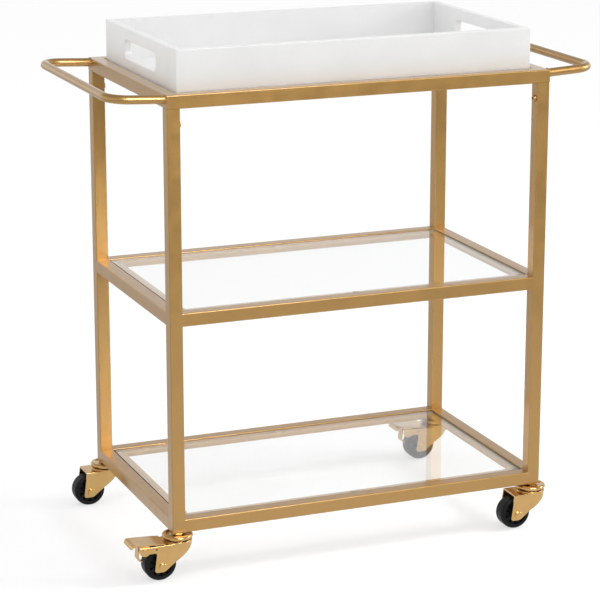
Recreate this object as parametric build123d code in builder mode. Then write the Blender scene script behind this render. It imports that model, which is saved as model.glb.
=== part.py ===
"""A bar cart on wheels: a steel frame with two glass shelves, a lift-off tray and four swivel casters.

Millimetres, +Z up, X along the cart, -Y to its front. The origin lies on the floor, under its middle.
"""

import os
from math import cos, radians, sin, sqrt, tan

from build123d import *

# Frame of square tube, measured over the outside of the posts and from the floor
frame_width = 610
frame_depth = 375
frame_height = 728
middle_shelf_height = 407
tube = 20
tube_wall = 1.2
tube_corner = 1.5
weld_reach = 1
post_arris = 0.6

# Top frame's plug-in joints
spigot_wall = 1.2
spigot_length = 46
screw_drop = 24
screw_radius = 3
screw_length = 12
screw_head_radius = 5.3
screw_head_height = 3.2
screw_key = 4
screw_key_depth = 1.8
nut_across_flats = 10
nut_height = 5

# Handles of round tube, bent to a U and tilted up a little
handle_tube = 13
handle_wall = 1.2
handle_reach = 80
handle_bend = 30
handle_tilt = 3

# Glass shelves and the ledges that carry them
ledge_width = 16
ledge_thickness = 3
ledge_joint = 0.5
glass_thickness = 5
glass_gap = 1.5
glass_drop = 1
glass_corner = 4
glass_arris = 0.5
pad_radius = 5
pad_thickness = 1

# Tray of white board
tray_height = 68
tray_sink = 7
tray_gap = 2.5
tray_wall = 12
tray_edge = 1.5
tray_floor = 6
tray_tongue = 3
tray_tongue_lap = 6
slot_length = 145
slot_height = 27
slot_corner = 9
slot_drop = 32
slot_edge = 2

# Casters, from the wheel up to the post
wheel_radius = 25
wheel_width = 23
wheel_shoulder = 4
rim_depth = 7
web_width = 12
hub_radius = 9.5
bush_radius = 6
bush_flange_radius = 8
bush_flange = 1.2
bush_length = 9
axle_radius = 4
axle_head_radius = 6
axle_head_height = 2.5
caster_trail = 30
fork_width = 40
fork_front_bulge = 1.5
fork_front_blend = 15
fork_back_reach = 7
fork_lip = 4
fork_sheet = 2
fork_edge = 1.2
leg_foot_reach = 12
leg_foot_drop = 8.5
leg_heel_radius = 4
leg_toe_radius = 9
wheel_headroom = 6
raceway_radius = 22.3
raceway_bore = 10
raceway_height = 2
raceway_edge = 0.8
ball_radius = 2.2
ball_circle_radius = 17
ball_count = 8
ball_gap = 1.5
race_cap_radius = 23.5
race_cap_height = 6.5
race_cap_edge = 3
race_cap_dish = 1.5
race_cap_dish_radius = 18
neck_height = 2
neck_inset = 1.5
kingpin_radius = 4
kingpin_head_radius = 7
kingpin_head_height = 2.5
stem_radius = 5
stem_length = 25
stem_tip = 1
socket_length = 30

# Foot brake of two of the casters
brake_pin_reach = 27
brake_pin_drop = 4.5
brake_pin_radius = 2.5
brake_pin_head_radius = 3.5
brake_pin_head_height = 1.2
brake_angle = 10
ear_radius = 9
ear_height = 10.5
ear_corner = 3
tooling_hole_reach = 9
tooling_hole_drop = 5
tooling_hole_radius = 1.4
pedal_front = 18.5
pedal_nose = 14
pedal_nose_dip = 5
pedal_back = 20
pedal_overhang = 1.3
pedal_sheet = 1.6
pedal_lift = 1.6
pedal_tilt = 3
pedal_curl = 6
pedal_corner = 4
pedal_flange_length = 16
pedal_flange_boss = 4.5
shoe_sheet = 2
shoe_width = 14
shoe_bend = 4
shoe_foot = 7
shoe_seat_length = 12
shoe_overhang = 5
shoe_contact = 163

# Share of a rivet's or screw's head height that is rounded off
head_rounding = 0.7

# Clearances
slip_fit = 0.2
close_fit = 0.05
running_fit = 0.08
side_play = 0.3

# Heights and places that follow from these sizes
crown_top = 2 * wheel_radius + wheel_headroom + fork_sheet
race_cap_bottom = crown_top + raceway_height + ball_gap
race_cap_top = race_cap_bottom + race_cap_height
frame_bottom = race_cap_top + neck_height
bottom_shelf_height = frame_bottom + tube
post_top = frame_height - tube
post_x = (frame_width - tube) / 2
post_y = (frame_depth - tube) / 2
inner_width = frame_width - 2 * tube
inner_depth = frame_depth - 2 * tube
tube_bore = tube - 2 * tube_wall
spigot = tube_bore - 2 * slip_fit
screw_height = post_top - screw_drop
tray_bottom = frame_height - tray_sink
tray_length = inner_width - 2 * tray_gap
tray_depth = inner_depth - 2 * tray_gap
ball_height = crown_top + raceway_height + ball_gap / 2
neck_across_flats = tube - 2 * neck_inset
fork_inside = fork_width - 2 * fork_sheet
fork_front_radius = fork_width / 2 + fork_front_bulge
fork_back = caster_trail + fork_back_reach
leg_foot_back = caster_trail + leg_foot_reach
hub_width = fork_inside - 2 * side_play - 2 * bush_flange
brake_pin_height = crown_top - brake_pin_drop
brake_pin_back = caster_trail + brake_pin_reach
ear_reach = brake_pin_back + ear_radius
pedal_flange_outside = fork_inside / 2 - side_play
pedal_width = 2 * (pedal_flange_outside + pedal_overhang)
pedal_start = brake_pin_back - pedal_front
pedal_reach = brake_pin_back + pedal_back

corners = {
    "front_left": (-1, -1),
    "front_right": (1, -1),
    "back_left": (-1, 1),
    "back_right": (1, 1),
}
braked_corners = ("front_left", "back_right")

os.makedirs("parts", exist_ok=True)


def save(part, name):
    """Labels a finished piece and writes it under its own name."""
    part.label = name
    export_step(part, f"parts/{name}.step")


def square_tube(plane, length):
    """A hollow square tube with rounded corners, from the plane along its normal."""
    with BuildPart() as piece:
        with BuildSketch(plane):
            RectangleRounded(tube, tube, tube_corner)
            Rectangle(tube_bore, tube_bore, mode=Mode.SUBTRACT)
        extrude(amount=length)
    return piece.part


# Posts, each with a hole for the screw of the top frame
posts = []
for corner, (side, front) in corners.items():
    with BuildPart() as post:
        add(square_tube(Plane((side * post_x, front * post_y, frame_bottom)), post_top - frame_bottom))
        with BuildSketch(Plane((side * post_x, front * post_y, screw_height), z_dir=(-side, 0, 0))):
            Circle(screw_radius + slip_fit)
        extrude(amount=tube, mode=Mode.SUBTRACT)
        chamfer(post.faces().sort_by(Axis.Z)[-1].outer_wire().edges(), post_arris)
    save(post.part, f"{corner}_post")
    posts.append(post.part)


def shelf_rail(plane, length, neighbours):
    """A tube between two posts, whose ends fill the corners beside its neighbours as a dressed weld does."""
    with BuildPart() as piece:
        add(square_tube(plane.offset(-weld_reach), length + 2 * weld_reach))
        add(neighbours, mode=Mode.SUBTRACT)
    return piece.part


# Rails of the two shelf frames, between the posts
for shelf, shelf_height in (("bottom", bottom_shelf_height), ("middle", middle_shelf_height)):
    rail_middle = shelf_height - tube / 2
    long_rails = []
    for name, front in (("front", -1), ("back", 1)):
        start = Plane((-inner_width / 2, front * post_y, rail_middle), z_dir=(1, 0, 0))
        long_rails.append(shelf_rail(start, inner_width, posts))
        save(long_rails[-1], f"{shelf}_{name}_rail")
    for name, side in (("left", -1), ("right", 1)):
        start = Plane((side * post_x, -inner_depth / 2, rail_middle), z_dir=(0, 1, 0))
        save(shelf_rail(start, inner_depth, posts + long_rails), f"{shelf}_{name}_rail")

# Rails of the top frame, mitred at its corners
for name, along, across, turn in (
    ("front", frame_width, frame_depth, 0),
    ("right", frame_depth, frame_width, 90),
    ("back", frame_width, frame_depth, 180),
    ("left", frame_depth, frame_width, 270),
):
    seat = Plane.XY.offset(frame_height - tube / 2).rotated((0, 0, turn))
    start = Plane(seat.from_local_coords((-along / 2, (tube - across) / 2, 0)), z_dir=seat.x_dir)
    with BuildPart() as top_rail:
        add(square_tube(start, along))
        for end in (-1, 1):
            corner_point = seat.from_local_coords((end * along / 2, -across / 2, 0))
            split(bisect_by=Plane(corner_point, z_dir=-end * seat.x_dir - seat.y_dir), keep=Keep.TOP)
    save(top_rail.part, f"top_{name}_rail")

# Spigots under the top frame, with the screws that hold them and the nuts inside them
with BuildPart() as spigots:
    with BuildSketch(Plane.XY.offset(post_top)):
        with GridLocations(2 * post_x, 2 * post_y, 2, 2):
            Rectangle(spigot, spigot)
            Rectangle(spigot - 2 * spigot_wall, spigot - 2 * spigot_wall, mode=Mode.SUBTRACT)
    extrude(amount=-spigot_length)
    for side in (-1, 1):
        with BuildSketch(Plane((side * post_x, 0, screw_height), x_dir=(0, 1, 0), z_dir=(-side, 0, 0))):
            with GridLocations(2 * post_y, 0, 2, 1):
                Circle(screw_radius + slip_fit)
        extrude(amount=tube, mode=Mode.SUBTRACT)
save(spigots.part, "top_frame_spigots")

with BuildPart() as screws:
    for side, front in corners.values():
        face = Plane((side * inner_width / 2, front * post_y, screw_height), z_dir=(-side, 0, 0))
        with BuildSketch(face):
            Circle(screw_head_radius)
        extrude(amount=screw_head_height)
        head_rim = screws.edges(Select.LAST).sort_by(face.location.z_axis)[-1]
        fillet(head_rim, screw_head_height * head_rounding)
        with BuildSketch(face.offset(screw_head_height)):
            RegularPolygon(screw_key / 2, 6, major_radius=False)
        extrude(amount=-screw_key_depth, mode=Mode.SUBTRACT)
        with BuildSketch(face):
            Circle(screw_radius)
        extrude(amount=-screw_length)
save(screws.part, "frame_screws")

with BuildPart() as nuts:
    for side, front in corners.values():
        wall_face = side * (post_x - spigot / 2 + spigot_wall)
        with BuildSketch(Plane((wall_face, front * post_y, screw_height), z_dir=(side, 0, 0))):
            RegularPolygon(nut_across_flats / 2, 6, major_radius=False)
            Circle(screw_radius + close_fit, mode=Mode.SUBTRACT)
        extrude(amount=nut_height)
save(nuts.part, "frame_screw_nuts")

# Handles, cut flat where they meet the ends of the top frame
for name, side in (("left", -1), ("right", 1)):
    rise = sin(radians(handle_tilt))
    reach = side * cos(radians(handle_tilt))
    root = (side * frame_width / 2, 0, frame_height - handle_tube / 2 / cos(radians(handle_tilt)))
    bend_plane = Plane(root, x_dir=(reach, 0, rise), z_dir=(-rise, 0, reach))
    with BuildPart() as handle:
        with BuildLine(bend_plane):
            path = FilletPolyline(
                (-tube / 2, -post_y),
                (handle_reach, -post_y),
                (handle_reach, post_y),
                (-tube / 2, post_y),
                radius=handle_bend,
            )
        with BuildSketch(Plane(path @ 0, z_dir=path % 0)):
            Circle(handle_tube / 2)
            Circle(handle_tube / 2 - handle_wall, mode=Mode.SUBTRACT)
        sweep()
        split(bisect_by=Plane(root, z_dir=(side, 0, 0)), keep=Keep.TOP)
    save(handle.part, f"handle_{name}")


def ledge(top):
    """Four flat strips along the inside of a frame, with a narrow joint between them at each corner."""
    short_length = inner_depth - 2 * ledge_width - 2 * ledge_joint
    with BuildPart() as strips:
        with BuildSketch(Plane.XY.offset(top)):
            with GridLocations(0, inner_depth - ledge_width, 1, 2):
                Rectangle(inner_width, ledge_width)
            with GridLocations(inner_width - ledge_width, 0, 2, 1):
                Rectangle(ledge_width, short_length)
        extrude(amount=-ledge_thickness)
    return strips.part


save(ledge(tray_bottom), "tray_ledge")

# Glass shelves on pads on their ledges
for shelf, shelf_height in (("bottom", bottom_shelf_height), ("middle", middle_shelf_height)):
    glass_top = shelf_height - glass_drop
    pad_top = glass_top - glass_thickness
    with BuildPart() as glass:
        with BuildSketch(Plane.XY.offset(pad_top)):
            RectangleRounded(inner_width - 2 * glass_gap, inner_depth - 2 * glass_gap, glass_corner)
        extrude(amount=glass_thickness)
        chamfer(glass.faces().filter_by(Axis.Z).edges(), glass_arris)
    save(glass.part, f"{shelf}_glass")
    with BuildPart() as pads:
        with BuildSketch(Plane.XY.offset(pad_top)):
            with GridLocations((inner_width - ledge_width) / 2, inner_depth - ledge_width, 3, 2):
                Circle(pad_radius)
        extrude(amount=-pad_thickness)
    save(pads.part, f"{shelf}_glass_pads")
    save(ledge(pad_top - pad_thickness), f"{shelf}_glass_ledge")

# Tray: two long walls, two ends with hand slots, and a floor between them with a tongue under all four
field_inset = tray_wall + slip_fit
tongue_inset = tray_wall - tray_tongue_lap
with BuildPart() as tray_floor_panel:
    for inset, height in ((tongue_inset, tray_tongue), (field_inset, tray_floor)):
        with BuildSketch(Plane.XY.offset(tray_bottom)):
            Rectangle(tray_length - 2 * inset, tray_depth - 2 * inset)
        extrude(amount=height)
save(tray_floor_panel.part, "tray_floor")

for name, front in (("front", -1), ("back", 1)):
    with BuildPart() as wall:
        with BuildSketch(Plane((0, front * (tray_depth - tray_wall) / 2, tray_bottom))):
            Rectangle(tray_length, tray_wall)
        extrude(amount=tray_height)
        outer_face = wall.faces().sort_by(Axis.Y)[-1 if front > 0 else 0]
        fillet(outer_face.edges().sort_by(Axis.Z)[1:], tray_edge)
        add(tray_floor_panel.part, mode=Mode.SUBTRACT)
    save(wall.part, f"tray_{name}_wall")

for name, side in (("left", -1), ("right", 1)):
    with BuildPart() as tray_end:
        with BuildSketch(Plane((side * (tray_length - tray_wall) / 2, 0, tray_bottom))):
            Rectangle(tray_wall, tray_depth - 2 * tray_wall)
        extrude(amount=tray_height)
        outer_face = tray_end.faces().sort_by(Axis.X)[-1 if side > 0 else 0]
        fillet(outer_face.edges().sort_by(Axis.Z)[-1], tray_edge)
        slot_middle = (side * tray_length / 2, 0, tray_bottom + tray_height - slot_drop)
        with BuildSketch(Plane(slot_middle, x_dir=(0, 1, 0), z_dir=(-side, 0, 0))):
            RectangleRounded(slot_length, slot_height, slot_corner)
        extrude(amount=tray_wall, mode=Mode.SUBTRACT)
        slot_rims = tray_end.edges(Select.LAST).filter_by(Axis.X, reverse=True)
        fillet(slot_rims, slot_edge)
        add(tray_floor_panel.part, mode=Mode.SUBTRACT)
    save(tray_end.part, f"tray_{name}_end")

# Caster pieces fixed to the frame, modelled on a swivel axis at the origin and repeated under the posts
with BuildPart() as socket:
    with BuildSketch(Plane.XY.offset(frame_bottom)):
        Rectangle(spigot, spigot)
        Circle(stem_radius + close_fit, mode=Mode.SUBTRACT)
    extrude(amount=socket_length)

with BuildPart() as stem:
    kingpin_end = crown_top - fork_sheet - side_play
    with BuildSketch(Plane.XY.offset(kingpin_end)):
        Circle(kingpin_head_radius)
    extrude(amount=-kingpin_head_height)
    fillet(stem.edges().sort_by(Axis.Z)[0], kingpin_head_height * head_rounding)
    with BuildSketch(Plane.XY.offset(kingpin_end)):
        Circle(kingpin_radius)
    extrude(amount=race_cap_top - kingpin_end)
    with BuildSketch(Plane.XY.offset(race_cap_top)):
        RegularPolygon(neck_across_flats / 2, 6, major_radius=False)
    extrude(amount=neck_height)
    with BuildSketch(Plane.XY.offset(frame_bottom)):
        Circle(stem_radius)
    extrude(amount=stem_length)
    chamfer(stem.edges().sort_by(Axis.Z)[-1], stem_tip)

with BuildPart() as race_cap:
    neck_corner = neck_across_flats / sqrt(3)
    with BuildSketch(Plane.XZ) as cap_profile:
        with Locations((kingpin_radius + close_fit, race_cap_bottom)):
            Rectangle(race_cap_radius - kingpin_radius - close_fit, race_cap_height, align=Align.MIN)
        fillet(cap_profile.vertices().group_by(Axis.X)[-1], race_cap_edge)
        with BuildLine():
            dish = ThreePointArc(
                (neck_corner, race_cap_top),
                ((neck_corner + race_cap_dish_radius) / 2, race_cap_top - race_cap_dish),
                (race_cap_dish_radius, race_cap_top),
            )
            Line(dish @ 1, dish @ 0)
        make_face(mode=Mode.SUBTRACT)
        with Locations((ball_circle_radius, ball_height)):
            Circle(ball_radius + running_fit, mode=Mode.SUBTRACT)
    revolve(axis=Axis.Z)

with BuildPart() as ball_ring:
    with Locations((0, 0, ball_height)):
        with PolarLocations(ball_circle_radius, ball_count):
            Sphere(ball_radius)

for piece, name in (
    (socket, "caster_sockets"),
    (stem, "caster_stems"),
    (race_cap, "caster_race_caps"),
    (ball_ring, "caster_balls"),
):
    with BuildPart() as group:
        with GridLocations(2 * post_x, 2 * post_y, 2, 2):
            add(piece.part)
    save(group.part, name)


def fork(braked):
    """A pressed fork: a crown under the ball race, round at its front, with two legs down to the axle.

    On a braked caster each leg has an ear behind the crown, and the ears carry the pedal.
    """
    back = ear_reach if braked else leg_foot_back
    leg_bottom = wheel_radius - leg_foot_drop
    with BuildPart() as piece:
        with BuildSketch() as plan:
            Circle(fork_front_radius)
            Rectangle(back, fork_width, align=(Align.MAX, Align.CENTER))
            fillet(plan.vertices().group_by(Axis.X)[-1], fork_front_blend)
        extrude(amount=crown_top)
        with BuildSketch(Plane.XZ) as leg_outline:
            with Locations((leg_heel_radius - leg_foot_back, leg_bottom + leg_heel_radius)):
                Circle(leg_heel_radius)
            with Locations((-caster_trail, leg_bottom + leg_toe_radius)):
                Circle(leg_toe_radius)
            with Locations((fork_front_radius, crown_top)):
                Rectangle(fork_back + fork_front_radius, fork_lip, align=Align.MAX)
            make_hull()
            if braked:
                with Locations((0, crown_top)):
                    Rectangle(brake_pin_back, ear_height, align=Align.MAX)
                with Locations((-brake_pin_back, brake_pin_height)):
                    Circle(ear_radius)
                ear_root = leg_outline.vertices().sort_by_distance((-fork_back, crown_top - ear_height))[0]
                fillet(ear_root, ear_corner)
        extrude(amount=fork_width, both=True, mode=Mode.INTERSECT)
        fillet(piece.faces().sort_by(Axis.Z)[-1].edges(), fork_edge)
        with BuildSketch():
            Circle(fork_front_radius - fork_sheet)
            Rectangle(back, fork_inside, align=(Align.MAX, Align.CENTER))
        extrude(amount=crown_top - fork_sheet, mode=Mode.SUBTRACT)
        if braked:
            with BuildSketch():
                with Locations((-fork_back, 0)):
                    Rectangle(back - fork_back, fork_inside, align=(Align.MAX, Align.CENTER))
            extrude(amount=crown_top, mode=Mode.SUBTRACT)
        with BuildSketch(Plane.XZ):
            with Locations((-caster_trail, wheel_radius)):
                Circle(axle_radius + close_fit)
            if braked:
                with Locations((-brake_pin_back, brake_pin_height)):
                    Circle(brake_pin_radius + close_fit)
                with Locations((-caster_trail - tooling_hole_reach, crown_top - tooling_hole_drop)):
                    Circle(tooling_hole_radius)
        extrude(amount=fork_width, both=True, mode=Mode.SUBTRACT)
        with BuildSketch(Plane.XZ) as raceway_profile:
            with Locations((raceway_bore, crown_top - fork_sheet)):
                Rectangle(raceway_radius - raceway_bore, fork_sheet + raceway_height, align=Align.MIN)
            fillet(raceway_profile.vertices().group_by(Axis.X)[-1], raceway_edge)
            with Locations((ball_circle_radius, ball_height)):
                Circle(ball_radius + running_fit, mode=Mode.SUBTRACT)
        revolve(axis=Axis.Z)
        with BuildSketch():
            Circle(kingpin_radius + running_fit)
        extrude(amount=crown_top, mode=Mode.SUBTRACT)
    return piece.part


# Wheel, bushes and rivets, turned about an axle; in their profiles X runs along the axle and Y outwards
axle_line = Axis((-caster_trail, 0, wheel_radius), (0, 1, 0))
axle_plane = Plane(axle_line.position, x_dir=axle_line.direction, z_dir=(1, 0, 0))
pin_line = Axis((-brake_pin_back, 0, brake_pin_height), (0, 1, 0))
pin_plane = Plane(pin_line.position, x_dir=pin_line.direction, z_dir=(1, 0, 0))

with BuildPart() as wheel:
    wheel_bore = bush_radius + close_fit
    rim_radius = wheel_radius - rim_depth
    with BuildSketch(axle_plane) as wheel_profile:
        with Locations((0, rim_radius)):
            Rectangle(wheel_width, rim_depth, align=(Align.CENTER, Align.MIN))
        with Locations((0, wheel_bore)):
            Rectangle(web_width, rim_radius - wheel_bore, align=(Align.CENTER, Align.MIN))
            Rectangle(hub_width, hub_radius - wheel_bore, align=(Align.CENTER, Align.MIN))
        fillet(wheel_profile.vertices().group_by(Axis.Y)[-1], wheel_shoulder)
    revolve(axis=axle_line)

with BuildPart() as bushes:
    bush_bore = axle_radius + running_fit
    with BuildSketch(axle_plane):
        with Locations((hub_width / 2, bush_bore)):
            Rectangle(bush_flange, bush_flange_radius - bush_bore, align=Align.MIN)
            Rectangle(bush_length, bush_radius - bush_bore, align=(Align.MAX, Align.MIN))
        mirror(about=Plane.YZ)
    revolve(axis=axle_line)


def rivet(plane, line, radius, head_radius, head_height):
    """A rivet through both legs of a fork, with a rounded head on the outside of each."""
    with BuildPart() as piece:
        with BuildSketch(plane) as rivet_profile:
            Rectangle(fork_width / 2, radius, align=Align.MIN)
            with Locations((fork_width / 2, 0)):
                Rectangle(head_height, head_radius, align=Align.MIN)
            outer_corner = rivet_profile.vertices().group_by(Axis.X)[-1].sort_by(Axis.Y)[-1]
            fillet(outer_corner, head_height * head_rounding)
            mirror(about=Plane.YZ)
        revolve(axis=line)
    return piece.part


# Brake pedal: a sheet with a curled tip behind the crown, on two flanges that turn on the pin
with BuildPart() as pedal:
    pedal_length = (pedal_reach - pedal_start - pedal_curl) / cos(radians(pedal_tilt))
    root_height = crown_top + pedal_lift + pedal_sheet / 2
    over_pin = root_height + (brake_pin_back - pedal_start) * tan(radians(pedal_tilt))
    with BuildSketch(Plane.XZ) as flange_outline:
        with Locations((-brake_pin_back, brake_pin_height)):
            Circle(pedal_flange_boss)
        with Locations((-brake_pin_back, over_pin)):
            Rectangle(pedal_flange_length, pedal_sheet / 2, rotation=-pedal_tilt)
        make_hull()
    extrude(amount=pedal_flange_outside, both=True)
    extrude(flange_outline.sketch, amount=pedal_flange_outside - pedal_sheet, both=True, mode=Mode.SUBTRACT)
    with BuildSketch(Plane.XZ):
        with BuildLine():
            nose = PolarLine((-pedal_start, root_height), pedal_nose, -pedal_nose_dip)
            flat = PolarLine(nose @ 0, pedal_length, 180 - pedal_tilt)
            curl = JernArc(flat @ 1, flat % 1, pedal_curl, 90)
        trace(line_width=pedal_sheet)
    extrude(amount=pedal_width / 2, both=True)
    tip = curl @ 1
    for side in (-1, 1):
        tip_corner = (tip.X, side * pedal_width / 2, tip.Y)
        fillet(pedal.edges().sort_by_distance(tip_corner)[0], pedal_corner)
    with BuildSketch(Plane.XZ):
        with Locations((-brake_pin_back, brake_pin_height)):
            Circle(brake_pin_radius + running_fit)
    extrude(amount=fork_width, both=True, mode=Mode.SUBTRACT)

# Brake shoe: a bent strip under the pedal, whose foot just clears the tread when the pedal is down
with BuildPart() as shoe:
    pin_point = Vector(-brake_pin_back, brake_pin_height)
    outward = Vector(1, 0).rotate(Axis.Z, shoe_contact)
    pressed_foot = Vector(-caster_trail, wheel_radius) + outward * (wheel_radius + side_play)
    foot = pin_point + (pressed_foot - pin_point).rotate(Axis.Z, -brake_angle)
    knee = foot + outward.rotate(Axis.Z, -brake_angle) * shoe_foot
    along = Vector(1, 0).rotate(Axis.Z, 180 - pedal_tilt)
    under = along.rotate(Axis.Z, 90) * (pedal_sheet + shoe_sheet) / 2
    seat_end = Vector(-brake_pin_back, over_pin) + along * shoe_overhang + under
    with BuildSketch(Plane.XZ):
        with BuildLine():
            FilletPolyline(seat_end - along * shoe_seat_length, seat_end, knee, foot, radius=shoe_bend)
        trace(line_width=shoe_sheet)
    extrude(amount=shoe_width / 2, both=True)

# Casters at the four posts, two of them with the brake
plain_caster = {
    "fork": fork(braked=False),
    "wheel": wheel.part,
    "wheel_bushes": bushes.part,
    "axle": rivet(axle_plane, axle_line, axle_radius, axle_head_radius, axle_head_height),
}
braked_caster = plain_caster | {
    "fork": fork(braked=True),
    "brake_pedal": pedal.part,
    "brake_shoe": shoe.part,
    "brake_pin": rivet(pin_plane, pin_line, brake_pin_radius, brake_pin_head_radius, brake_pin_head_height),
}
for corner, (side, front) in corners.items():
    caster = braked_caster if corner in braked_corners else plain_caster
    for name, master in caster.items():
        with BuildPart() as placed:
            with Locations((side * post_x, front * post_y, 0)):
                add(master)
        save(placed.part, f"{name}_{corner}")
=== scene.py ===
"""Finishes a bar cart on wheels: paint, plating, lacquer, glass, welds and wheel ribs, in a white studio."""

from math import pi

import bpy
from bpy.props import FloatProperty, FloatVectorProperty, IntProperty, PointerProperty
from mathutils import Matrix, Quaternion, Vector


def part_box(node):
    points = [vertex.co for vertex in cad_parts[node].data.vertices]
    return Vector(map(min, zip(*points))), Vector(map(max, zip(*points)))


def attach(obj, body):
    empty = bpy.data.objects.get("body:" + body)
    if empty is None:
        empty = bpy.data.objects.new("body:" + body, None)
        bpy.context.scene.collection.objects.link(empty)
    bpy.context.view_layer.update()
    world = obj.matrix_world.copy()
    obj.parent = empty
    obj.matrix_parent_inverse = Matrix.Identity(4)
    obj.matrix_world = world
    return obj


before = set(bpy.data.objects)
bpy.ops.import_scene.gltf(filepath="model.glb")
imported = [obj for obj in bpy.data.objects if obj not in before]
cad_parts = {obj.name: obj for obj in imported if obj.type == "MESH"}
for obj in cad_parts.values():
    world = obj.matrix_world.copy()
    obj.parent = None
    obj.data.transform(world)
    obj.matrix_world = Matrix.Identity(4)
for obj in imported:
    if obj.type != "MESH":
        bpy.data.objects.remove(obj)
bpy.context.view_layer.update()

bl_info = {
    "name": "Bar cart finish",
    "version": (1, 0, 0),
    "blender": (4, 5, 0),
    "location": "View3D > Sidebar > Bar cart",
    "description": "Finishes the packed bar cart and sets it in a white studio",
    "category": "Object",
}

SLOT_OF = {name: node.material_slots[0].material.name for name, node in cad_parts.items()}
CORNERS = ("front_left", "front_right", "back_left", "back_right")

# Weld beads: the swellings along one bead, and how far they swell as a share of its radius

RING_RIPPLES = 22.0
RING_RIPPLE = 0.12
STITCH_RIPPLES = 7.0
STITCH_RIPPLE = 0.14

# Stitch welds: a power that is lower for blunter ends, and their places along a short ledge strip as shares

STITCH_TAPER = 0.35
SIDE_STITCH_SHARES = (0.25, 0.75)

# Wheel ribs, in metres: the radii between which they run, which lie inside the hub and inside the rim,
# and how far from the wheel's middle they run, from inside its web to the rim's side

RIB_START = 0.0088
RIB_END = 0.0184
RIB_INSIDE = 0.0057
RIB_OUTSIDE = 0.0115

# How far a rib's edges are rounded, as a share of its width

RIB_ROUNDING = 0.3

# Lamps of the stage: where each hangs, what it faces and its size, in metres

FRONT_LAMP = {"place": (0.3, -3.6, 2.5), "target": (0, 0, 0.4), "size": (2.4, 1.4)}
SIDE_LAMP = {"place": (3.0, -0.8, 1.5), "target": (0, 0, 0.3), "size": (0.9, 0.9)}
SHADOW_LAMP = {"place": (2.2, -0.6, 2.5), "target": (0, 0, 0), "size": (0.9, 0.9)}

# Floor and front card of the stage: places in metres, colours, and how strongly they shine

FLOOR_REACH = 9.0
FLOOR_COLOUR = (0.36, 0.36, 0.362, 1)
FLOOR_GLOW = 0.61
FLOOR_BOUNCE = 0.92
POOL_CENTRE = (0.2, -0.55, 0)
CARD_Y = -4.4
CARD_REACH = 4
CARD_HEIGHT = 3.2
CARD_GLOW = 0.3
WHITE = (1, 1, 1, 1)


class BarCartColours(bpy.types.PropertyGroup):
    """Colours of the cart's finishes"""

    gold: FloatVectorProperty(
        name="Gold paint", description="Satin gold of the frame, its screws and the handles",
        subtype="COLOR", size=3, min=0, max=1, default=(0.54, 0.315, 0.100),
    )
    gold_deep: FloatVectorProperty(
        name="Gold paint, deep", description="Darker flakes of the paint",
        subtype="COLOR", size=3, min=0, max=1, default=(0.497, 0.285, 0.083),
    )
    plating: FloatVectorProperty(
        name="Brass plating", description="Bright plating of the casters",
        subtype="COLOR", size=3, min=0, max=1, default=(0.75, 0.465, 0.165),
    )
    plating_deep: FloatVectorProperty(
        name="Brass plating, deep", description="Duller patches of the plating",
        subtype="COLOR", size=3, min=0, max=1, default=(0.69, 0.42, 0.143),
    )
    lacquer: FloatVectorProperty(
        name="White lacquer", description="Lacquer of the tray",
        subtype="COLOR", size=3, min=0, max=1, default=(0.87, 0.875, 0.87),
    )
    wheel: FloatVectorProperty(
        name="Wheel black", description="Moulded black of the wheels",
        subtype="COLOR", size=3, min=0, max=1, default=(0.007, 0.007, 0.008),
    )
    # Olive of the glass edges, darkened to near black as painted shade of the gap beside the rails
    glass_edge_and_gap_shade: FloatVectorProperty(
        name="Glass edge", description="Dark olive of the ground edges of the glass",
        subtype="COLOR", size=3, min=0, max=1, default=(0.030, 0.030, 0.012),
    )


class BarCartDetails(bpy.types.PropertyGroup):
    """Sizes of the details added to the frame and the wheels"""

    handle_tube: FloatProperty(
        name="Handle tube", description="Outside of the handle's tube",
        unit="LENGTH", default=0.013, min=0.005,
    )
    ring_bead: FloatProperty(
        name="Ring bead", description="Radius of the weld bead round a handle's foot",
        unit="LENGTH", default=0.0011, min=0.0002,
    )
    stitch_length: FloatProperty(
        name="Stitch length", description="Length of one stitch weld under a ledge",
        unit="LENGTH", default=0.014, min=0.002,
    )
    stitch_bead: FloatProperty(
        name="Stitch bead", description="Radius of the stitch weld's bead",
        unit="LENGTH", default=0.0017, min=0.0002,
    )
    stitches: IntProperty(
        name="Stitches", description="Stitch welds along each long ledge strip",
        default=4, min=2, max=12,
    )
    rib_count: IntProperty(
        name="Wheel ribs", description="Ribs on each side of a wheel",
        default=10, min=3, max=24,
    )
    rib_width: FloatProperty(
        name="Rib width", description="Thickness of a wheel's rib",
        unit="LENGTH", default=0.0018, min=0.0005,
    )


class BarCartStudio(bpy.types.PropertyGroup):
    """Camera and light of the studio"""

    camera_place: FloatVectorProperty(
        name="Camera", description="Where the camera stands",
        subtype="TRANSLATION", unit="LENGTH", size=3, default=(-1.36897, -3.30764, 1.30752),
    )
    camera_turn: FloatProperty(
        name="Turn", description="How far the camera turns to the right of straight ahead",
        subtype="ANGLE", default=0.3858,
    )
    camera_dip: FloatProperty(
        name="Dip", description="How far the camera looks down",
        subtype="ANGLE", default=0.2606,
    )
    lens: FloatProperty(
        name="Lens", description="Focal length of the camera",
        unit="CAMERA", default=141.47, min=1,
    )
    front: FloatProperty(
        name="Front lamp", description="Power of the large lamp in front, which leaves matt surfaces unlit",
        unit="POWER", default=155, min=0,
    )
    side: FloatProperty(
        name="Side lamp", description="Power of the lamp at the cart's right",
        unit="POWER", default=26, min=0,
    )
    shadow: FloatProperty(
        name="Shadow lamp",
        description="Power of the lamp that lights the floor alone, for the cart's shadow",
        unit="POWER", default=53, min=0,
    )
    ambient: FloatProperty(
        name="Room light", description="Even light from all round",
        default=1.0, min=0, max=1,
    )


# Finishes


def new_finish(name):
    """A node material and its shader."""
    material = bpy.data.materials.new(name)
    material.use_nodes = True
    return material, material.node_tree, material.node_tree.nodes["Principled BSDF"]


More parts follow.
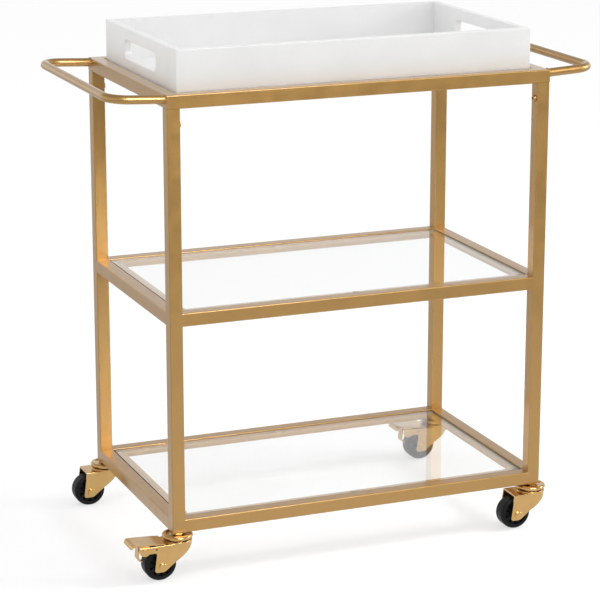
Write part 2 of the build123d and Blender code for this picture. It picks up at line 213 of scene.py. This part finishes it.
def grain(tree, scale, detail=3.0, stretch=(1, 1, 1)):
    """Noise of so many waves to the metre, stretched along the axes."""
    place = tree.nodes.new("ShaderNodeTexCoord")
    turn = tree.nodes.new("ShaderNodeMapping")
    turn.inputs["Scale"].default_value = stretch
    noise = tree.nodes.new("ShaderNodeTexNoise")
    noise.inputs["Scale"].default_value = scale
    noise.inputs["Detail"].default_value = detail
    tree.links.new(place.outputs["Object"], turn.inputs["Vector"])
    tree.links.new(turn.outputs["Vector"], noise.inputs["Vector"])
    return noise.outputs["Fac"]


def between(tree, source, low, high, start=0.35, end=0.65):
    """A number that runs from low to high as the source goes from start to end."""
    span = tree.nodes.new("ShaderNodeMapRange")
    span.inputs["From Min"].default_value = start
    span.inputs["From Max"].default_value = end
    span.inputs["To Min"].default_value = low
    span.inputs["To Max"].default_value = high
    tree.links.new(source, span.inputs["Value"])
    return span.outputs["Result"]


def blended(tree, source, first, second, start=0.35, end=0.65):
    """A colour that runs from first to second as the source goes from start to end."""
    ramp = tree.nodes.new("ShaderNodeValToRGB")
    ramp.color_ramp.elements[0].position = start
    ramp.color_ramp.elements[0].color = (*first, 1)
    ramp.color_ramp.elements[1].position = end
    ramp.color_ramp.elements[1].color = (*second, 1)
    tree.links.new(source, ramp.inputs["Fac"])
    return ramp.outputs["Color"]


def roughen(tree, shader, source, height):
    """Relief of so many metres from the source."""
    bump = tree.nodes.new("ShaderNodeBump")
    bump.inputs["Strength"].default_value = 1.0
    bump.inputs["Distance"].default_value = height
    tree.links.new(source, bump.inputs["Height"])
    tree.links.new(bump.outputs["Normal"], shader.inputs["Normal"])


def satin_gold(colours):
    """Metallic paint under a clear coat: fine flakes and a slight orange peel."""
    material, tree, shader = new_finish("satin_gold")
    flakes = grain(tree, scale=900, detail=2)
    colour = blended(tree, flakes, colours.gold_deep, colours.gold, start=0.3, end=0.6)
    tree.links.new(colour, shader.inputs["Base Color"])
    roughness = between(tree, grain(tree, scale=45), low=0.38, high=0.45)
    tree.links.new(roughness, shader.inputs["Roughness"])
    roughen(tree, shader, grain(tree, scale=420, detail=2), height=0.00003)
    shader.inputs["Metallic"].default_value = 0.9
    shader.inputs["Coat Weight"].default_value = 0.9
    shader.inputs["Coat Roughness"].default_value = 0.12
    return material


def brass_plating(colours):
    """Plated pressings: brighter than the paint, with faint drawing marks."""
    material, tree, shader = new_finish("brass_plating")
    colour = blended(tree, grain(tree, scale=40), colours.plating_deep, colours.plating)
    tree.links.new(colour, shader.inputs["Base Color"])
    roughness = between(tree, grain(tree, scale=90), low=0.20, high=0.27)
    tree.links.new(roughness, shader.inputs["Roughness"])
    roughen(tree, shader, grain(tree, scale=500, stretch=(1, 1, 0.15)), height=0.000008)
    shader.inputs["Metallic"].default_value = 1.0
    shader.inputs["Coat Weight"].default_value = 0.8
    shader.inputs["Coat Roughness"].default_value = 0.08
    return material


def zinc_steel():
    """Blue-white zinc on the hidden nuts and balls."""
    material, tree, shader = new_finish("zinc_coating")
    spangle = grain(tree, scale=320, detail=4)
    colour = blended(tree, spangle, (0.36, 0.37, 0.39), (0.50, 0.51, 0.52))
    tree.links.new(colour, shader.inputs["Base Color"])
    roughness = between(tree, grain(tree, scale=500), low=0.25, high=0.42)
    tree.links.new(roughness, shader.inputs["Roughness"])
    shader.inputs["Metallic"].default_value = 1.0
    return material


def white_lacquer(colours):
    """Sprayed lacquer on board, with a faint orange peel."""
    material, tree, shader = new_finish("sprayed_lacquer")
    light = tuple(colours.lacquer)
    dull = tuple(0.965 * value for value in light)
    colour = blended(tree, grain(tree, scale=14), dull, light)
    tree.links.new(colour, shader.inputs["Base Color"])
    roughness = between(tree, grain(tree, scale=60), low=0.30, high=0.42)
    tree.links.new(roughness, shader.inputs["Roughness"])
    roughen(tree, shader, grain(tree, scale=260, detail=2), height=0.00003)
    shader.inputs["Coat Weight"].default_value = 0.25
    shader.inputs["Coat Roughness"].default_value = 0.15
    return material


def clear_glass(colours):
    """Clear float glass with faint wiping marks. Its ground edges are olive, darkened by painted shade."""
    material, tree, shader = new_finish("float_glass")
    normal = tree.nodes.new("ShaderNodeNewGeometry")
    parts = tree.nodes.new("ShaderNodeSeparateXYZ")
    level = tree.nodes.new("ShaderNodeMath")
    level.operation = "ABSOLUTE"
    tree.links.new(normal.outputs["True Normal"], parts.inputs["Vector"])
    tree.links.new(parts.outputs["Z"], level.inputs[0])
    flat = level.outputs["Value"]
    # The upright edges are opaque olive: the glass's own green, darkened to near black as painted shade
    tint_and_edge_shade = blended(tree, flat, colours.glass_edge_and_gap_shade, (0.948, 0.957, 0.953), start=0.3, end=0.6)
    tree.links.new(tint_and_edge_shade, shader.inputs["Base Color"])
    wiping = grain(tree, scale=9, detail=4, stretch=(0.35, 1, 1))
    roughness = between(tree, wiping, low=0.0, high=0.025, start=0.45, end=0.75)
    tree.links.new(roughness, shader.inputs["Roughness"])
    clear = between(tree, flat, low=0.0, high=1.0, start=0.3, end=0.6)
    tree.links.new(clear, shader.inputs["Transmission Weight"])
    shader.inputs["IOR"].default_value = 1.5
    return material


def soft_pad():
    """Soft milky bumpers under the glass."""
    material, tree, shader = new_finish("soft_bumper")
    colour = blended(tree, grain(tree, scale=600), (0.60, 0.57, 0.50), (0.68, 0.65, 0.58))
    tree.links.new(colour, shader.inputs["Base Color"])
    roughness = between(tree, grain(tree, scale=900), low=0.3, high=0.42)
    tree.links.new(roughness, shader.inputs["Roughness"])
    shader.inputs["Transmission Weight"].default_value = 0.2
    shader.inputs["IOR"].default_value = 1.4
    return material


def wheel_black(colours):
    """Hard moulded black with paler, dusty patches."""
    material, tree, shader = new_finish("moulded_black")
    dark = tuple(colours.wheel)
    dusty = tuple(2.2 * value for value in dark)
    colour = blended(tree, grain(tree, scale=160, detail=5), dark, dusty, start=0.45, end=0.8)
    tree.links.new(colour, shader.inputs["Base Color"])
    roughness = between(tree, grain(tree, scale=300, detail=4), low=0.34, high=0.48)
    tree.links.new(roughness, shader.inputs["Roughness"])
    roughen(tree, shader, grain(tree, scale=1500, detail=2), height=0.00002)
    shader.inputs["Specular IOR Level"].default_value = 0.16
    return material


def black_nylon():
    """Turned black nylon of the bushes and the sockets."""
    material, tree, shader = new_finish("bush_nylon")
    colour = blended(tree, grain(tree, scale=400), (0.016, 0.016, 0.017), (0.028, 0.028, 0.029))
    tree.links.new(colour, shader.inputs["Base Color"])
    roughness = between(tree, grain(tree, scale=700), low=0.4, high=0.55)
    tree.links.new(roughness, shader.inputs["Roughness"])
    return material


def finish_nodes(slot, material):
    """Gives every CAD node of a material slot its finish."""
    names = [name for name, used in SLOT_OF.items() if used == slot]
    if not names:
        raise RuntimeError(f"no CAD node has the material slot {slot}")
    for name in names:
        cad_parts[name].material_slots[0].material = material
    return names


# Geometry Nodes for what repeats


class Tree:
    """A Geometry Nodes tree with named inputs, and short calls to fill it."""

    def __init__(self, name, inputs):
        self.group = bpy.data.node_groups.new(name, "GeometryNodeTree")
        self.group.interface.new_socket("Geometry", in_out="INPUT", socket_type="NodeSocketGeometry")
        self.group.interface.new_socket("Geometry", in_out="OUTPUT", socket_type="NodeSocketGeometry")
        for label, kind in inputs:
            self.group.interface.new_socket(label, in_out="INPUT", socket_type="NodeSocket" + kind)
        self.given = self.group.nodes.new("NodeGroupInput").outputs
        self.end = self.group.nodes.new("NodeGroupOutput")

    def add(self, kind, operation=None, mode=None, **values):
        """A node, with inputs given by their place as i0, i1 or by their name with underscores."""
        node = self.group.nodes.new(kind)
        if mode:
            node.mode = mode
        if operation:
            node.operation = operation
        for key, value in values.items():
            place = int(key[1:]) if key[0] == "i" and key[1:].isdigit() else key.replace("_", " ")
            if isinstance(value, bpy.types.NodeSocket):
                self.group.links.new(value, node.inputs[place])
            else:
                node.inputs[place].default_value = value
        return node

    def math(self, operation, *values):
        """The result of a Math node."""
        inputs = {f"i{i}": value for i, value in enumerate(values)}
        return self.add("ShaderNodeMath", operation, **inputs).outputs[0]

    def straight(self, length):
        """A straight curve along X, with its middle at the origin."""
        half = self.math("MULTIPLY", length, 0.5)
        first = self.add("ShaderNodeCombineXYZ", X=self.math("MULTIPLY", half, -1.0))
        last = self.add("ShaderNodeCombineXYZ", X=half)
        line = self.add("GeometryNodeCurvePrimitiveLine", Start=first.outputs[0], End=last.outputs[0])
        return line.outputs[0]

    def bead_radius(self):
        """A bead's radius along its path: a row of small swellings."""
        along = self.add("GeometryNodeSplineParameter").outputs["Factor"]
        turns = self.math("MULTIPLY", self.given["Ripples"], 2 * pi)
        wave = self.math("SINE", self.math("MULTIPLY", along, turns))
        swelling = self.math("ADD", 1.0, self.math("MULTIPLY", wave, self.given["Ripple"]))
        return self.math("MULTIPLY", self.given["Bead radius"], swelling)

    def bead(self, path, radius, caps):
        """A round bead along a curve."""
        swollen = self.add("GeometryNodeSetCurveRadius", Curve=path, Radius=radius)
        section = self.add("GeometryNodeCurvePrimitiveCircle", Resolution=12, Radius=1.0)
        scale = self.add("GeometryNodeInputRadius")
        return self.add(
            "GeometryNodeCurveToMesh", Curve=swollen.outputs[0], Profile_Curve=section.outputs["Curve"],
            Scale=scale.outputs[0], Fill_Caps=caps,
        ).outputs[0]

    def close(self, instance):
        """Ends the tree in real copies on its points, each with its point's turn, in their finish."""
        turn = self.add("GeometryNodeInputNamedAttribute", Name="turn")
        turn.data_type = "FLOAT_VECTOR"
        placed = self.add(
            "GeometryNodeInstanceOnPoints", Points=self.given["Geometry"], Instance=instance,
            Rotation=turn.outputs[0],
        )
        real = self.add("GeometryNodeRealizeInstances", i0=placed.outputs[0])
        painted = self.add(
            "GeometryNodeSetMaterial", Geometry=real.outputs[0], Material=self.given["Finish"],
        )
        smooth = self.add("GeometryNodeSetShadeSmooth", i0=painted.outputs[0])
        self.group.links.new(smooth.outputs[0], self.end.inputs["Geometry"])
        return self.group


def grow(name, points, turns, group, values):
    """A plain mesh grown by a tree on points that carry a turn each."""
    mesh = bpy.data.meshes.new(name + "_points")
    mesh.from_pydata([tuple(point) for point in points], [], [])
    turn = mesh.attributes.new("turn", "FLOAT_VECTOR", "POINT")
    for item, value in zip(turn.data, turns):
        item.vector = value
    seed = bpy.data.objects.new(name + "_seed", mesh)
    bpy.context.scene.collection.objects.link(seed)
    modifier = seed.modifiers.new("grow", "NODES")
    modifier.node_group = group
    for socket in group.interface.items_tree:
        if socket.in_out == "INPUT" and socket.name in values:
            modifier[socket.identifier] = values[socket.name]
    bpy.context.view_layer.update()
    grown = bpy.data.meshes.new_from_object(seed.evaluated_get(bpy.context.evaluated_depsgraph_get()))
    bpy.data.objects.remove(seed)
    if not grown.polygons:
        raise RuntimeError(f"{name} grew no faces")
    grown.name = name
    piece = bpy.data.objects.new(name, grown)
    bpy.context.scene.collection.objects.link(piece)
    return piece


def ring_bead_tree():
    """A weld bead round a tube, at each point."""
    tree = Tree("ring_bead", (
        ("Ring radius", "Float"), ("Bead radius", "Float"), ("Ripples", "Float"),
        ("Ripple", "Float"), ("Finish", "Material"),
    ))
    ring = tree.add("GeometryNodeCurvePrimitiveCircle", Resolution=96, Radius=tree.given["Ring radius"])
    return tree.close(tree.bead(ring.outputs["Curve"], tree.bead_radius(), caps=False))


def stitch_bead_tree():
    """A short straight weld bead at each point, along its own X and thinner towards its ends."""
    tree = Tree("stitch_bead", (
        ("Length", "Float"), ("Bead radius", "Float"), ("Ripples", "Float"),
        ("Ripple", "Float"), ("Finish", "Material"),
    ))
    line = tree.add("GeometryNodeResampleCurve", Curve=tree.straight(tree.given["Length"]), Count=40)
    along = tree.add("GeometryNodeSplineParameter").outputs["Factor"]
    # Four times this is 1 at the middle of the bead and 0 at its ends
    from_end = tree.math("MULTIPLY", along, tree.math("SUBTRACT", 1.0, along))
    taper = tree.math("POWER", tree.math("MULTIPLY", from_end, 4.0), STITCH_TAPER)
    radius = tree.math("MULTIPLY", tree.bead_radius(), taper)
    return tree.close(tree.bead(line.outputs[0], radius, caps=True))


def wheel_rib_tree():
    """A round-edged rib at each point, along its own X."""
    tree = Tree("wheel_rib", (
        ("Length", "Float"), ("Width", "Float"), ("Depth", "Float"), ("Finish", "Material"),
    ))
    width = tree.given["Width"]
    section = tree.add("GeometryNodeCurvePrimitiveQuadrilateral", Width=width, Height=tree.given["Depth"])
    rounded = tree.add(
        "GeometryNodeFilletCurve", mode="POLY", Curve=section.outputs[0], Count=3,
        Radius=tree.math("MULTIPLY", width, RIB_ROUNDING),
    )
    rib = tree.add(
        "GeometryNodeCurveToMesh", Curve=tree.straight(tree.given["Length"]),
        Profile_Curve=rounded.outputs[0], Fill_Caps=True,
    )
    return tree.close(rib.outputs[0])


# Operators


class BAR_CART_OT_paint_frame(bpy.types.Operator):
    """Paint the frame, its screws and the handles in satin gold"""

    bl_idname = "bar_cart.paint_frame"
    bl_label = "Paint frame"

    def execute(self, context):
        finish_nodes("gold_paint", satin_gold(context.scene.bar_cart_colours))
        return {"FINISHED"}


class BAR_CART_OT_weld_handles(bpy.types.Operator):
    """Lay a weld bead round each foot of the handles"""

    bl_idname = "bar_cart.weld_handles"
    bl_label = "Weld handles"

    def execute(self, context):
        details = context.scene.bar_cart_details
        tube_radius = details.handle_tube / 2
        low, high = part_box("top_front_rail")
        handle_low, handle_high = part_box("handle_left")
        foot_y = handle_high.y - tube_radius
        foot_z = handle_low.z + tube_radius
        points = [(x, y, foot_z) for x in (low.x, high.x) for y in (-foot_y, foot_y)]
        turns = [(0, pi / 2, 0)] * len(points)
        piece = grow("handle_welds", points, turns, ring_bead_tree(), {
            "Ring radius": tube_radius,
            "Bead radius": details.ring_bead,
            "Ripples": RING_RIPPLES,
            "Ripple": RING_RIPPLE,
            "Finish": bpy.data.materials["satin_gold"],
        })
        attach(piece, "frame")
        return {"FINISHED"}


class BAR_CART_OT_weld_ledges(bpy.types.Operator):
    """Lay stitch welds under the ledges, where they meet the rails"""

    bl_idname = "bar_cart.weld_ledges"
    bl_label = "Weld ledges"

    def execute(self, context):
        details = context.scene.bar_cart_details
        shares = [(i + 0.5) / details.stitches for i in range(details.stitches)]
        points = []
        turns = []
        for name in ("tray_ledge", "middle_glass_ledge", "bottom_glass_ledge"):
            low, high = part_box(name)
            for share in shares:
                x = low.x + (high.x - low.x) * share
                points += [(x, low.y, low.z), (x, high.y, low.z)]
                turns += [(0, 0, 0)] * 2
            for share in SIDE_STITCH_SHARES:
                y = low.y + (high.y - low.y) * share
                points += [(low.x, y, low.z), (high.x, y, low.z)]
                turns += [(0, 0, pi / 2)] * 2
        piece = grow("ledge_welds", points, turns, stitch_bead_tree(), {
            "Length": details.stitch_length,
            "Bead radius": details.stitch_bead,
            "Ripples": STITCH_RIPPLES,
            "Ripple": STITCH_RIPPLE,
            "Finish": bpy.data.materials["satin_gold"],
        })
        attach(piece, "frame")
        return {"FINISHED"}


class BAR_CART_OT_fit_glass(bpy.types.Operator):
    """Make the shelves clear glass on soft milky bumpers, both without shadows"""

    bl_idname = "bar_cart.fit_glass"
    bl_label = "Fit glass"

    def execute(self, context):
        panes = finish_nodes("clear_glass", clear_glass(context.scene.bar_cart_colours))
        pads = finish_nodes("clear_pad", soft_pad())
        for name in panes + pads:
            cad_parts[name].visible_shadow = False
        return {"FINISHED"}


class BAR_CART_OT_lacquer_tray(bpy.types.Operator):
    """Lacquer the tray white"""

    bl_idname = "bar_cart.lacquer_tray"
    bl_label = "Lacquer tray"

    def execute(self, context):
        finish_nodes("white_lacquer", white_lacquer(context.scene.bar_cart_colours))
        return {"FINISHED"}


class BAR_CART_OT_plate_casters(bpy.types.Operator):
    """Plate the casters, and finish the hidden nuts, balls, sockets and bushes"""

    bl_idname = "bar_cart.plate_casters"
    bl_label = "Plate casters"

    def execute(self, context):
        finish_nodes("brass_plate", brass_plating(context.scene.bar_cart_colours))
        finish_nodes("zinc_steel", zinc_steel())
        finish_nodes("black_nylon", black_nylon())
        return {"FINISHED"}


class BAR_CART_OT_mould_wheels(bpy.types.Operator):
    """Colour the wheels and give each side of them its ribs"""

    bl_idname = "bar_cart.mould_wheels"
    bl_label = "Mould wheels"

    def execute(self, context):
        details = context.scene.bar_cart_details
        black = wheel_black(context.scene.bar_cart_colours)
        finish_nodes("black_wheel", black)
        rib = wheel_rib_tree()
        middle = (RIB_START + RIB_END) / 2
        aside = (RIB_INSIDE + RIB_OUTSIDE) / 2
        for corner in CORNERS:
            low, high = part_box("wheel_" + corner)
            axle = (low + high) / 2
            points = []
            turns = []
            for side in (-1, 1):
                for i in range(details.rib_count):
                    angle = 2 * pi * i / details.rib_count
                    outwards = Vector((1, 0, 0))
                    outwards.rotate(Quaternion((0, 1, 0), angle))
                    points.append(axle + outwards * middle + Vector((0, side * aside, 0)))
                    turns.append((0, angle, 0))
            piece = grow("wheel_ribs_" + corner, points, turns, rib, {
                "Length": RIB_END - RIB_START,
                "Width": details.rib_width,
                "Depth": RIB_OUTSIDE - RIB_INSIDE,
                "Finish": black,
            })
            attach(piece, "wheel_" + corner)
        return {"FINISHED"}


class BAR_CART_OT_light_studio(bpy.types.Operator):
    """Lay the white floor, hang the lamps and place the camera"""

    bl_idname = "bar_cart.light_studio"
    bl_label = "Light studio"

    def execute(self, context):
        scene = context.scene
        studio = scene.bar_cart_studio
        scene.view_settings.view_transform = "Standard"
        floor = self.lay_floor(scene)
        self.light_room(scene, studio.ambient)
        front = self.hang(scene, "front_lamp", studio.front, **FRONT_LAMP)
        front.visible_diffuse = False
        self.hang(scene, "side_lamp", studio.side, **SIDE_LAMP)
        shadow = self.hang(scene, "shadow_lamp", studio.shadow, **SHADOW_LAMP)
        shadow.light_linking.receiver_collection = bpy.data.collections.new("shadow_floor")
        shadow.light_linking.receiver_collection.objects.link(floor)
        self.stand_card(scene)
        self.place_camera(scene, studio)
        return {"FINISHED"}

    @staticmethod
    def combine(tree, operation, first, second):
        """The result of a Math node on two values."""
        node = tree.nodes.new("ShaderNodeMath")
        node.operation = operation
        tree.links.new(first, node.inputs[0])
        tree.links.new(second, node.inputs[1])
        return node.outputs[0]

    @staticmethod
    def choose(tree, share, first, second):
        """The second shader where the share is 1, and else the first."""
        chosen = tree.nodes.new("ShaderNodeMixShader")
        tree.links.new(share, chosen.inputs[0])
        tree.links.new(first, chosen.inputs[1])
        tree.links.new(second, chosen.inputs[2])
        return chosen.outputs[0]

    @staticmethod
    def light(tree, kind, strength):
        """A white Emission or Background shader, its strength a number or a value of the tree."""
        node = tree.nodes.new("ShaderNode" + kind)
        node.inputs["Color"].default_value = WHITE
        if isinstance(strength, bpy.types.NodeSocket):
            tree.links.new(strength, node.inputs["Strength"])
        else:
            node.inputs["Strength"].default_value = strength
        return node.outputs[0]

    def by_ray(self, tree, matt, gloss, seen):
        """One shader for matt surfaces' rays, one for gloss, and one for what is seen, also through glass."""
        path = tree.nodes.new("ShaderNodeLightPath").outputs
        looking = self.combine(tree, "MAXIMUM", path["Is Camera Ray"], path["Is Transmission Ray"])
        # A ray through rough glass counts as gloss too, so what is seen is chosen last
        lit = self.choose(tree, path["Is Glossy Ray"], matt, gloss)
        return self.choose(tree, looking, lit, seen)

    @staticmethod
    def panel(name, scene, corners):
        """A flat stage piece and its material's node tree, which holds only the output."""
        mesh = bpy.data.meshes.new(name)
        mesh.from_pydata(corners, [], [(0, 1, 2, 3)])
        piece = bpy.data.objects.new(name, mesh)
        scene.collection.objects.link(piece)
        material = bpy.data.materials.new(name)
        material.use_nodes = True
        material.node_tree.nodes.remove(material.node_tree.nodes["Principled BSDF"])
        mesh.materials.append(material)
        return piece, material.node_tree

    def lay_floor(self, scene):
        """A white floor that keeps the cart's shadow. Gloss sees it as a pool of light, dim far in front."""
        reach = FLOOR_REACH
        corners = [(-reach, -reach, 0), (reach, -reach, 0), (reach, reach, 0), (-reach, reach, 0)]
        floor, tree = self.panel("studio_floor", scene, corners)
        shaded = tree.nodes.new("ShaderNodeBsdfDiffuse")
        shaded.inputs["Color"].default_value = FLOOR_COLOUR
        seen = tree.nodes.new("ShaderNodeAddShader")
        tree.links.new(shaded.outputs[0], seen.inputs[0])
        tree.links.new(self.light(tree, "Emission", FLOOR_GLOW), seen.inputs[1])
        place = tree.nodes.new("ShaderNodeTexCoord").outputs["Object"]
        away = tree.nodes.new("ShaderNodeVectorMath")
        away.operation = "DISTANCE"
        away.inputs[1].default_value = POOL_CENTRE
        tree.links.new(place, away.inputs[0])
        round_cart = between(tree, away.outputs["Value"], low=0.80, high=0.55, start=0.45, end=1.35)
        parts = tree.nodes.new("ShaderNodeSeparateXYZ")
        tree.links.new(place, parts.inputs["Vector"])
        in_front = between(tree, parts.outputs["Y"], low=0.32, high=1.0, start=-2.6, end=-1.0)
        pool = self.light(tree, "Emission", self.combine(tree, "MULTIPLY", round_cart, in_front))
        plain = self.light(tree, "Emission", FLOOR_BOUNCE)
        surface = self.by_ray(tree, matt=plain, gloss=pool, seen=seen.outputs[0])
        tree.links.new(surface, tree.nodes["Material Output"].inputs["Surface"])
        return floor

    def stand_card(self, scene):
        """A grey card behind the front lamp, which only gloss sees, so that the metal isn't washed out."""
        corners = [
            (-CARD_REACH, CARD_Y, 0), (CARD_REACH, CARD_Y, 0),
            (CARD_REACH, CARD_Y, CARD_HEIGHT), (-CARD_REACH, CARD_Y, CARD_HEIGHT),
        ]
        card, tree = self.panel("front_card", scene, corners)
        grey = self.light(tree, "Emission", CARD_GLOW)
        nothing = tree.nodes.new("ShaderNodeBsdfTransparent").outputs[0]
        path = tree.nodes.new("ShaderNodeLightPath").outputs
        # A ray through rough glass counts as gloss too, so the shader has to let it pass
        surface = self.choose(tree, path["Is Transmission Ray"], grey, nothing)
        tree.links.new(surface, tree.nodes["Material Output"].inputs["Surface"])
        card.visible_camera = False
        card.visible_diffuse = False
        card.visible_transmission = False
        card.visible_shadow = False

    def light_room(self, scene, strength):
        """Even light on the cart, and a white room with a dim ceiling for what its gloss shows."""
        scene.world = bpy.data.worlds.new("studio_room")
        scene.world.use_nodes = True
        tree = scene.world.node_tree
        tree.nodes.remove(tree.nodes["Background"])
        way = tree.nodes.new("ShaderNodeTexCoord")
        parts = tree.nodes.new("ShaderNodeSeparateXYZ")
        tree.links.new(way.outputs["Generated"], parts.inputs["Vector"])
        ceiling = between(tree, parts.outputs["Z"], low=1.0, high=0.35, start=0.1, end=0.6)
        room = self.light(tree, "Background", strength)
        dim = self.light(tree, "Background", ceiling)
        white = self.light(tree, "Background", 1.0)
        surface = self.by_ray(tree, matt=room, gloss=dim, seen=white)
        tree.links.new(surface, tree.nodes["World Output"].inputs["Surface"])

    @staticmethod
    def hang(scene, name, power, place, target, size):
        """A rectangular lamp that faces its target."""
        lamp = bpy.data.lights.new(name, "AREA")
        lamp.shape = "RECTANGLE"
        lamp.size = size[0]
        lamp.size_y = size[1]
        lamp.energy = power
        holder = bpy.data.objects.new(name, lamp)
        holder.location = place
        holder.rotation_euler = (Vector(target) - Vector(place)).to_track_quat("-Z", "Y").to_euler()
        scene.collection.objects.link(holder)
        return holder

    @staticmethod
    def place_camera(scene, studio):
        """The camera in front of the cart, to its left and above it."""
        camera = bpy.data.cameras.new("studio_camera")
        camera.lens = studio.lens
        camera.sensor_width = 36
        camera.clip_end = 50
        eye = bpy.data.objects.new("studio_camera", camera)
        eye.location = studio.camera_place
        eye.rotation_euler = (pi / 2 - studio.camera_dip, 0, -studio.camera_turn)
        scene.collection.objects.link(eye)
        scene.camera = eye


OPERATORS = (
    BAR_CART_OT_paint_frame,
    BAR_CART_OT_weld_handles,
    BAR_CART_OT_weld_ledges,
    BAR_CART_OT_fit_glass,
    BAR_CART_OT_lacquer_tray,
    BAR_CART_OT_plate_casters,
    BAR_CART_OT_mould_wheels,
    BAR_CART_OT_light_studio,
)


class BAR_CART_PT_finish(bpy.types.Panel):
    """Colours, details and studio of the bar cart"""

    bl_idname = "BAR_CART_PT_finish"
    bl_label = "Bar cart"
    bl_space_type = "VIEW_3D"
    bl_region_type = "UI"
    bl_category = "Bar cart"

    def draw(self, context):
        for settings in (
            context.scene.bar_cart_colours,
            context.scene.bar_cart_details,
            context.scene.bar_cart_studio,
        ):
            box = self.layout.box()
            for name in settings.__annotations__:
                box.prop(settings, name)
        for operator in OPERATORS:
            self.layout.operator(operator.bl_idname)


CLASSES = (BarCartColours, BarCartDetails, BarCartStudio, *OPERATORS, BAR_CART_PT_finish)


def register():
    """Adds the settings, the operators and the panel."""
    for item in CLASSES:
        bpy.utils.register_class(item)
    bpy.types.Scene.bar_cart_colours = PointerProperty(type=BarCartColours)
    bpy.types.Scene.bar_cart_details = PointerProperty(type=BarCartDetails)
    bpy.types.Scene.bar_cart_studio = PointerProperty(type=BarCartStudio)


def unregister():
    """Takes away what register added."""
    del bpy.types.Scene.bar_cart_studio
    del bpy.types.Scene.bar_cart_details
    del bpy.types.Scene.bar_cart_colours
    for item in reversed(CLASSES):
        bpy.utils.unregister_class(item)


def main():
    """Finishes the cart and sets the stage."""
    register()
    bpy.ops.bar_cart.paint_frame()
    bpy.ops.bar_cart.weld_handles()
    bpy.ops.bar_cart.weld_ledges()
    bpy.ops.bar_cart.fit_glass()
    bpy.ops.bar_cart.lacquer_tray()
    bpy.ops.bar_cart.plate_casters()
    bpy.ops.bar_cart.mould_wheels()
    bpy.ops.bar_cart.light_studio()


if __name__ == "__main__":
    main()
